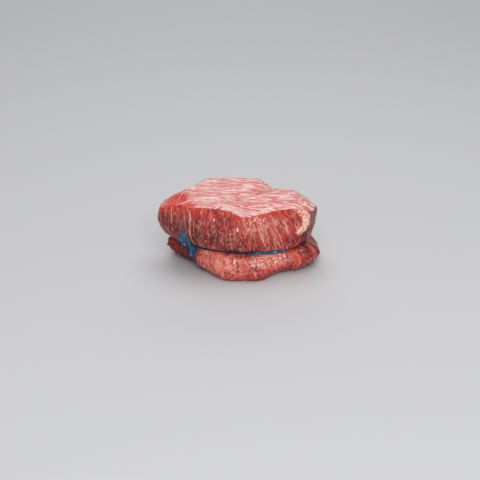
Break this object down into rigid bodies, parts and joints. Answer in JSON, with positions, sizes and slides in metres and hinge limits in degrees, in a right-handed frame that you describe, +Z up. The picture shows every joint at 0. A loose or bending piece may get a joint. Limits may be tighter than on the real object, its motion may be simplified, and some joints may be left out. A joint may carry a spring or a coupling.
{
  "type": "raw beef tenderloin steak",
  "caption": "Thick raw beef tenderloin steak with marbled sides, drawn in at its waist by a blue cotton string that ends in a small bow.",
  "frame": {"origin": "middle of the bounding box, on the surface that the steak lies on", "axes": "+X along the steak's long side, +Z up through its thickness, -Y towards the side that the picture shows"},
  "size_m": [0.087, 0.0596, 0.0403],
  "materials": {
    "beef": "moist raw muscle, satin to wet",
    "cotton": "matte twisted cotton"
  },
  "bodies": {
    "root": {"steak": "beef", "string": "cotton"}
  },
  "joints": []
}
